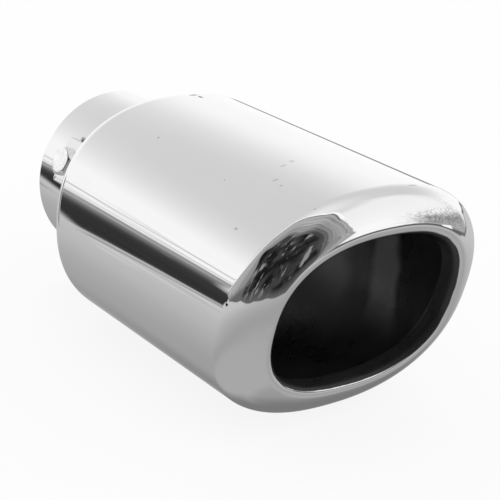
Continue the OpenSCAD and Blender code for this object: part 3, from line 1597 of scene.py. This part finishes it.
@dataclass(frozen=True)
class NearBand:
    """A dark band low down on the near side, its tones by elevation, shifted by azimuth."""

    tones: Stops = (
        (-18, 0.58), (-14.6, 0.60), (-14.3, 0.36), (-14.0, 0.34), (-13.7, 0.52), (-13.3, 0.50),
        (-12.9, 0.06), (-12.0, 0.032), (-6.5, 0.036), (-5.0, 0.055), (-4.0, 0.10), (-3.2, 0.16),
        (-2.2, 0.22), (-1.2, 0.46), (-0.7, 0.30), (0.2, 0.40), (0.9, 0.92), (1.5, 0.90), (1.8, 0.52),
        (2.1, 0.94), (4.2, 1.00), (4.5, 0.80), (4.75, 0.36), (5.0, 0.84), (5.6, 1.0), (9.0, 1.04))
    shift: Span = (-44.0, -29.0, -3.0, 4.5)
    bar: Triple = (-41.0, 10.0, 1.6)
    height: Window = ((-17.5, -16.0), (7.0, 8.5))
    streaks: Span = (0.3, 0.7, 0.78, 1.18)


@dataclass(frozen=True)
class DarkPanel:
    """A dark panel with a grey border, its middle an azimuth and an elevation.

    The edge and the core are radii in degrees from the middle, by the turn round it.
    """

    middle: Pair = (-138.0, 10.0)
    edge: Stops = (
        (-180, 68), (-175, 70), (-150, 60.5), (-140, 59.5), (-133, 56), (-118, 42.5), (-101, 36),
        (-72, 34), (-30, 46), (-15, 70), (-6, 91), (-1, 95), (7, 88), (16, 82), (26, 80), (36, 82),
        (47, 86), (57, 88), (68, 92), (82, 85), (99, 75), (114, 71), (136, 62.5), (166, 63.5),
        (180, 68))
    core: Stops = (
        (-180, 46.5), (-167, 53), (-154, 59), (-140, 58), (-133, 54), (-118, 41), (-101, 35),
        (-72, 33), (-30, 42), (-15, 42), (9, 38), (27, 48), (38, 62), (50, 56), (63, 54), (73, 54),
        (91, 42), (106, 41), (137, 40), (180, 46.5))
    size: float = 120.0
    edge_soft: Pair = (-0.4, 0.4)
    core_soft: Pair = (-3.5, 0.8)
    upper: Window = ((-6.0, 2.0), (135.0, 150.0))
    thread_steps: Pair = (11.0, 0.005)
    thread_grain: Grain = Grain(1.0, 3.0, 0.6)
    thread_span: Span = (0.36, 0.62, 0.55, 1.15)
    side_fall: Span = (0.35, 1.0, 0.50, 0.20)
    back_fall: Span = (0.25, 0.85, 0.42, 0.10)
    back_turn: Pair = (105.0, 130.0)
    plain_turn: Window = ((-90.0, -70.0), (-14.0, -2.0))
    plain_tone: float = 0.14
    cloud_grain: Grain = Grain(1.0, 3.0, 0.55, (3.4, 3.4, 3.4))
    cloud_span: Span = (0.42, 0.62, 0.010, 0.055)
    light_grain: Grain = Grain(1.0, 3.0, 0.62, (5.2, 5.2, 1.7), (0.10, 0.06, 0.0))
    light_span: Pair = (0.575, 0.615)
    light_tone: float = 0.28
    low_in: Span = (3.0, 14.0, 1.0, 0.0)
    low_turn: Span = (-22.0, -8.0, 1.0, 0.0)
    low_share: float = 0.8
    low_tone: float = 0.13
    groove: Window = ((0.0, 0.4), (1.0, 1.8))
    groove_tone: float = 0.16
    halo: Window = ((-3.2, -2.2), (-0.6, 0.0))
    halo_tone: float = 1.04


# The brighter and darker stretches that lie over the sky and the ground.
PATCHES: tuple[Patch, ...] = (
    Patch((135.0, 22.0, 18.0), (5.0, 12.0), (46.0, 66.0), 0.97, 0.85),
    Patch((92.0, 18.0, 34.0), (-86.0, -74.0), (-68.0, -56.0), 0.31, 0.75),
    # The next stretch is a painted shadow of the object on the ground, seen in the polish.
    Patch((50.0, 12.0, 45.0), (-88.0, -62.0), (-44.0, -26.0), 0.20),
    Patch((43.5, 6.0, 3.0), (-17.5, -15.0), (-9.0, -5.5), 0.22),
    Patch((119.0, 2.5, 2.0), (-14.5, -13.5), (-11.5, -10.0), 1.06),
    Patch((-24.0, 2.5, 2.0), (-21.0, -18.0), (0.0, 3.0), 0.05, 0.75))


class Surroundings:
    """What stands round the object for the polish to show.

    Directions are an azimuth from +Y towards +X and an elevation, both in degrees.
    """

    SKY: Stops = (
        # The dip near -42 degrees is a painted shadow of the object on the ground, seen in the polish.
        (-90, 0.42), (-50, 0.42), (-42, 0.34), (-34, 0.40), (-28, 0.44), (-23, 0.50), (-17, 0.58),
        (-5, 0.60), (1, 0.62), (3.5, 1.04), (13, 1.04), (20, 0.93), (27, 0.80), (36, 0.67),
        (50, 0.66), (62, 0.72), (75, 0.84), (90, 0.90))
    STREAKS: Grain = Grain(1.0, 3.0, 0.6, (6.0, 6.0, 75.0))

    # A new ramp has its first two stops already.
    READY_STOPS: int = 2

    def __init__(self, bench: NodeBench) -> None:
        """Reads the direction that is looked in.

        Args:
            bench: The world's node bench.
        """
        self.bench = bench
        self.way = bench.add("TexCoord").outputs["Generated"]
        self.rise = bench.degrees(bench.math("ARCSINE", bench.split(self.way)["Z"]))
        flattened = bench.vector("MULTIPLY", self.way, (1.0, 1.0, 0.0)).outputs[0]
        self.level = bench.vector("NORMALIZE", flattened).outputs[0]
        axes = bench.split(self.level)
        self.azimuth = bench.degrees(bench.math("ARCTAN2", axes["X"], axes["Y"]))
        self.streaks = bench.noise(self.way, self.STREAKS)

    def tone(self) -> Socket:
        """How bright the surroundings are in each direction.

        Returns:
            The strength of the light from there.
        """
        light = self._along(self.rise, self.SKY, "B_SPLINE")
        light = self._far_side(FarSide(), light)
        light = self._near_band(NearBand(), light)
        for patch in PATCHES:
            height = self.bench.window(self.rise, patch.rise, patch.fall)
            mask = self.bench.times(self._bar(patch.bar), height, patch.share)
            light = self.bench.blend(mask, light, patch.tone)
        return self._panel(DarkPanel(), light)

    def _bar(self, bar: Triple) -> Socket:
        """1 within a bar's half width from its azimuth, and 0 past its soft edge.

        Args:
            bar: The bar's azimuth, half width and soft edge.

        Returns:
            The share.
        """
        azimuth, half, soft = bar
        inner, outer = (math.cos(math.radians(v)) for v in (half, half + soft))
        facing = self.bench.vector("DOT_PRODUCT", self.level, direction(azimuth)).outputs["Value"]
        return self.bench.remap(facing, outer, inner, smooth=True)

    def _along(self, value: Socket, stops: Stops, kind: str = "LINEAR", size: float = 1.0) -> Socket:
        """Tones along a value.

        Args:
            value: What the tones follow.
            stops: The value and the tone at each stop.
            kind: How a tone runs from one stop to the next.
            size: The largest tone that is to be held.

        Returns:
            The tone at the value.
        """
        low, high = stops[0][0], stops[-1][0]
        ramp = self.bench.add("ValToRGB")
        bands = ramp.color_ramp
        bands.interpolation = kind
        for number, (position, tone) in enumerate(stops):
            stop = bands.elements[number] if number < self.READY_STOPS else bands.elements.new(1.0)
            stop.position = (position - low) / (high - low)
            stop.color = grey(tone / size)
        self.bench.join(self.bench.remap(value, low, high), ramp.inputs[0])
        return self.bench.times(ramp.outputs[0], size)

    def _far_side(self, far: FarSide, light: Socket) -> Socket:
        """Lays the far side over the light.

        Args:
            far: The far side.
            light: The light without it.

        Returns:
            The light with it.
        """
        bench, rise, azimuth = self.bench, self.rise, self.azimuth
        raised = tuple((v, tone + far.lift) for v, tone in far.horizon)
        line = bench.plus(bench.minus(rise, self._along(azimuth, raised, size=far.size)), far.lift)
        above = bench.remap(line, *far.edge, smooth=True)
        sides = bench.times(bench.remap(azimuth, *far.starts), bench.remap(azimuth, *far.ends))
        ground = bench.times(bench.times(above, sides), bench.remap(rise, *far.top))
        light = bench.blend(ground, light, far.tone)

        hedge = bench.times(bench.times(above, self._bar(far.hedge_bar)),
                            bench.remap(rise, *far.hedge_top, smooth=True))
        hedge = bench.times(hedge, bench.remap(self.streaks, *far.hedge_streaks))
        light = bench.blend(hedge, light, far.hedge_tone)

        twigs = bench.math("ABSOLUTE", bench.minus(bench.noise(self.way, far.twig_grain), 0.5))
        tree = bench.times(bench.remap(twigs, *far.twig_span), self._bar(far.twig_bar))
        tree = bench.times(tree, bench.window(rise, *far.twig_rise))
        light = bench.times(light, bench.blend(tree, 1.0, far.twig_tone))

        below = bench.math("DIVIDE", line, bench.remap(azimuth, *far.line_width))
        dark = bench.times(bench.remap(below, *far.line_low), bench.remap(line, *far.line_high))
        dark = bench.times(dark, bench.remap(azimuth, *far.line_starts),
                           bench.remap(azimuth, *far.line_ends))
        return bench.blend(dark, light, bench.remap(azimuth, *far.line_tone))

    def _near_band(self, band: NearBand, light: Socket) -> Socket:
        """Lays the near band over the light.

        Args:
            band: The band.
            light: The light without it.

        Returns:
            The light with it.
        """
        bench = self.bench
        height = bench.plus(self.rise, bench.remap(self.azimuth, *band.shift))
        mask = bench.times(self._bar(band.bar), bench.window(height, *band.height))
        shade = bench.times(self._along(height, band.tones), bench.remap(self.streaks, *band.streaks))
        return bench.blend(mask, light, shade)

    def _panel_border(self, panel: DarkPanel, turn: Socket, share: Socket) -> Socket:
        """The border's tone, with fine threads round the panel.

        Args:
            panel: The panel.
            turn: The turn round its middle.
            share: The share of the way from its edge to its core.

        Returns:
            The tone.
        """
        bench = self.bench
        threads = bench.add("CombineXYZ")
        for value, step, target in zip((share, turn), panel.thread_steps, threads.inputs):
            bench.join(bench.times(value, step), target)
        lines = bench.remap(bench.noise(threads.outputs[0], panel.thread_grain), *panel.thread_span)
        fall = bench.blend(bench.remap(bench.math("ABSOLUTE", turn), *panel.back_turn),
                           bench.remap(share, *panel.side_fall), bench.remap(share, *panel.back_fall))
        return bench.blend(bench.window(turn, *panel.plain_turn), bench.times(fall, lines),
                           panel.plain_tone)

    def _panel_core(self, panel: DarkPanel, turn: Socket, inside: Socket) -> Socket:
        """The core's tone, with a few pale lights.

        Args:
            panel: The panel.
            turn: The turn round its middle.
            inside: The distance in from its edge.

        Returns:
            The tone.
        """
        bench = self.bench
        core = bench.remap(bench.noise(self.way, panel.cloud_grain), *panel.cloud_span)
        lights = bench.remap(bench.noise(self.way, panel.light_grain), *panel.light_span)
        core = bench.blend(lights, core, panel.light_tone)
        low = bench.times(bench.remap(inside, *panel.low_in), bench.remap(turn, *panel.low_turn),
                          panel.low_share)
        return bench.blend(low, core, panel.low_tone)

    def _panel(self, panel: DarkPanel, light: Socket) -> Socket:
        """Lays the dark panel over the light.

        Args:
            panel: The panel.
            light: The surroundings without it.

        Returns:
            The surroundings with it.
        """
        bench = self.bench
        azimuth, elevation = panel.middle
        axes = (direction(azimuth, elevation), direction(azimuth + 90.0),
                direction(azimuth + 180.0, 90.0 - elevation))
        ahead, side, up = (bench.vector("DOT_PRODUCT", self.way, axis).outputs["Value"] for axis in axes)
        away = bench.degrees(bench.math("ARCCOSINE", ahead))
        turn = bench.degrees(bench.math("ARCTAN2", up, side))
        inside = bench.minus(self._along(turn, panel.edge, "CARDINAL", panel.size), away)
        deep = bench.minus(self._along(turn, panel.core, "CARDINAL", panel.size), away)
        upper = bench.window(turn, *panel.upper)
        share = bench.math("DIVIDE", inside, bench.minus(inside, deep), clamp=True)

        tone = bench.blend(bench.remap(deep, *panel.core_soft, smooth=True),
                           self._panel_border(panel, turn, share), self._panel_core(panel, turn, inside))
        groove = bench.times(bench.window(inside, *panel.groove), upper)
        tone = bench.blend(groove, tone, panel.groove_tone)
        halo = bench.times(bench.window(inside, *panel.halo), upper)
        light = bench.blend(halo, light, panel.halo_tone)
        return bench.blend(bench.remap(inside, *panel.edge_soft, smooth=True), light, tone)


@dataclass
class Studio:
    """A pale floor in a soft white studio. Polished surfaces show the surroundings instead."""

    floor_z: float = -43.1
    floor_size_m: float = 12.0
    floor_tone: float = 0.93
    floor_lift: float = 0.86
    soft_light: float = 1.0

    def build(self) -> None:
        """Makes the world and the floor."""
        world = bpy.data.worlds.new("studio")
        bpy.context.scene.world = world
        world.use_nodes = True
        bench = NodeBench(world.node_tree)
        rays = bench.add("LightPath").outputs
        light = bench.blend(rays["Is Glossy Ray"], self.soft_light, Surroundings(bench).tone())
        light = bench.blend(rays["Is Camera Ray"], light, 1.0)
        sky = bench.add("Background")
        bench.join(light, sky.inputs["Strength"])
        sky.inputs["Color"].default_value = grey(1.0)
        bench.join(sky.outputs[0], bench.add("OutputWorld").inputs["Surface"])
        self._floor()
        bpy.context.scene.view_settings.view_transform = "Standard"
        log.info("studio ready")

    def _floor_finish(self, bench: NodeBench, _: Socket) -> Socket:
        """Matte and pale, and lifted towards white where the camera sees it.

        Args:
            bench: The material's node bench.
            _: The place on the floor, which the finish doesn't need.

        Returns:
            The shader's output.
        """
        matte = bench.add("BsdfDiffuse")
        matte.inputs["Color"].default_value = grey(self.floor_tone)
        glow = bench.add("Emission")
        glow.inputs["Color"].default_value = grey(1.0)
        both = bench.add("MixShader")
        seen = bench.add("LightPath").outputs["Is Camera Ray"]
        bench.join(bench.times(seen, self.floor_lift), both.inputs[0])
        bench.join(matte.outputs[0], both.inputs[1])
        bench.join(glow.outputs[0], both.inputs[2])
        return both.outputs[0]

    def _floor(self) -> None:
        """Makes the floor, which mirrors don't show."""
        mesh = bmesh.new()
        bmesh.ops.create_grid(mesh, x_segments=1, y_segments=1, size=self.floor_size_m / 2)
        bmesh.ops.translate(mesh, verts=mesh.verts, vec=(0, 0, self.floor_z * MM))
        data = bpy.data.meshes.new("floor")
        mesh.to_mesh(data)
        mesh.free()
        data.materials.append(new_material("pale_floor", self._floor_finish))
        floor = bpy.data.objects.new("floor", data)
        floor.visible_glossy = False
        bpy.context.scene.collection.objects.link(floor)


def main() -> None:
    """Builds the exhaust tip and its studio."""
    logging.basicConfig(level=logging.INFO, format="%(message)s")
    sheet = Sheet()
    paint, weld = BlackPaint(), WeldMetal()
    clamps = [ClampPoint(sheet, site) for site in Site]

    OvalBody(sheet).build(PartPainted(PolishedSteel(marks=WEAR), paint))
    neck = InletNeck(sheet)
    neck.build(PartPainted(PolishedSteel(), paint), clamps)
    neck.build_weld(weld)
    plate_finish = PolishedSteel(colour=0.82, roughness=0.07).material("polished_plate")
    tack_finish, bolt_finish = weld.material("weld_tack"), BoltSteel().material("bolt_head")
    for clamp in clamps:
        clamp.build_plate(plate_finish)
        clamp.build_tacks(tack_finish)
        clamp.build_bolt(bolt_finish)
    Studio().build()
    ViewPoint().build()


if __name__ == "__main__":
    main()
